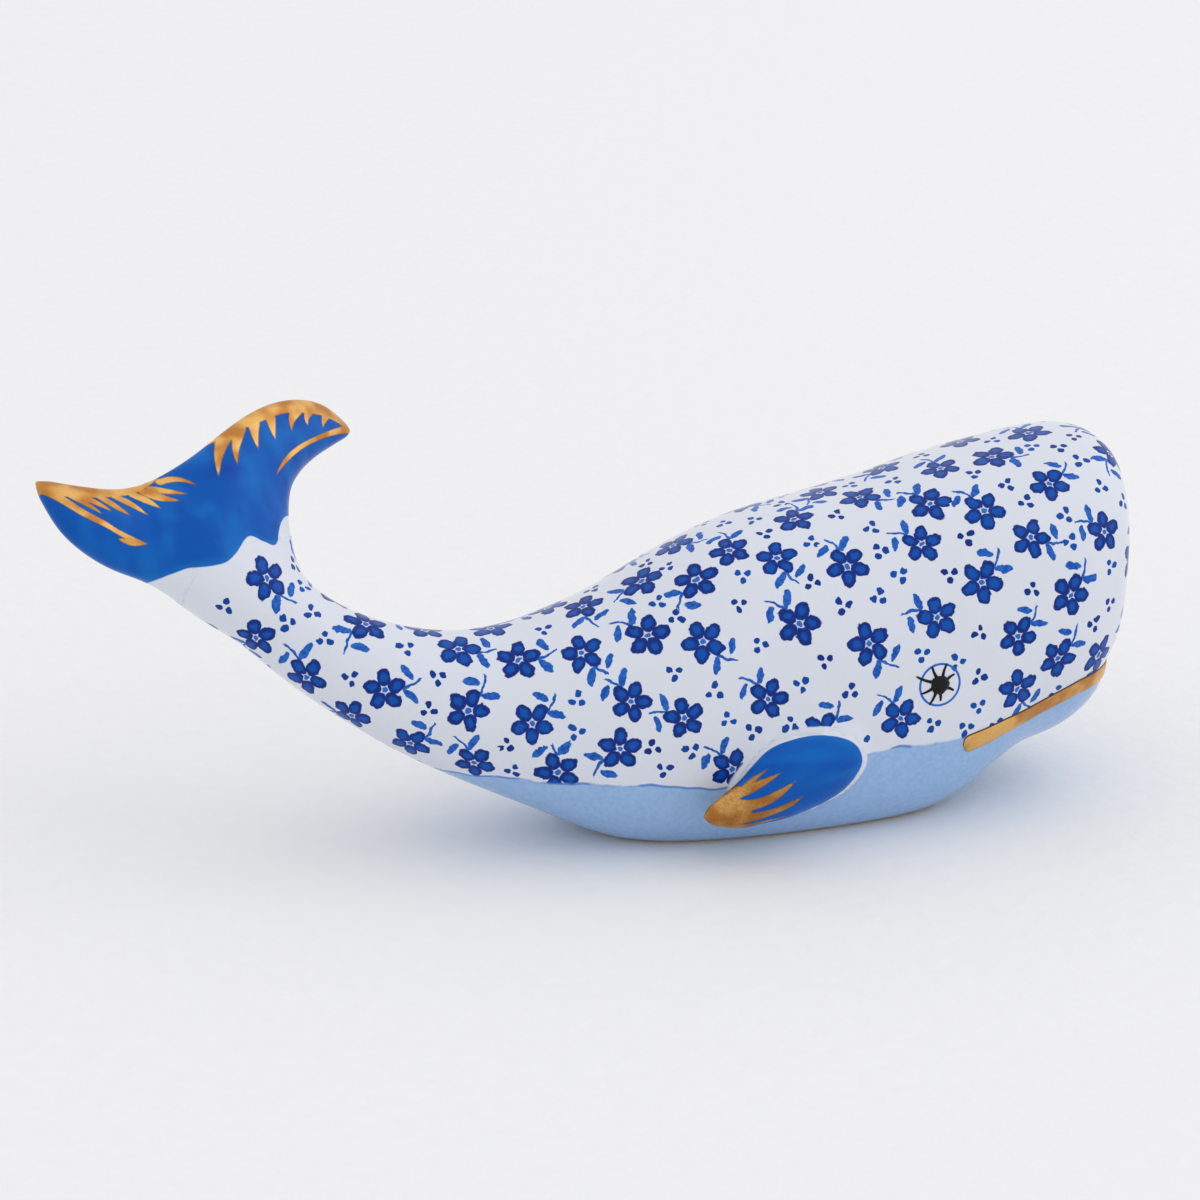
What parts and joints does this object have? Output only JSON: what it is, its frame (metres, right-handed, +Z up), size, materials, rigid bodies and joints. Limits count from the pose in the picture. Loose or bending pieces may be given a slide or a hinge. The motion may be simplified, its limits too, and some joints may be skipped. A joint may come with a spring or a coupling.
{
  "type": "animal figurine",
  "caption": "Porcelain whale figurine with a flat foot, raised curled tail flukes and side flippers, standing free as a shelf ornament.",
  "frame": {"origin": "centre of the vent hole on the flat foot's rest plane", "axes": "+X toward the snout, -Y out of the right flank, +Z up"},
  "size_m": [0.1236, 0.0463, 0.0471],
  "materials": {
    "painted_porcelain": "gloss",
    "cobalt_porcelain": "gloss",
    "black_enamel": "gloss",
    "gilding": "satin"
  },
  "bodies": {
    "root": {"body_casting": "painted_porcelain", "tail_flukes": "cobalt_porcelain", "right_flipper": "cobalt_porcelain", "left_flipper": "cobalt_porcelain", "right_eye_enamel": "black_enamel", "left_eye_enamel": "black_enamel", "gilt_lip_band": "gilding"}
  },
  "joints": []
}
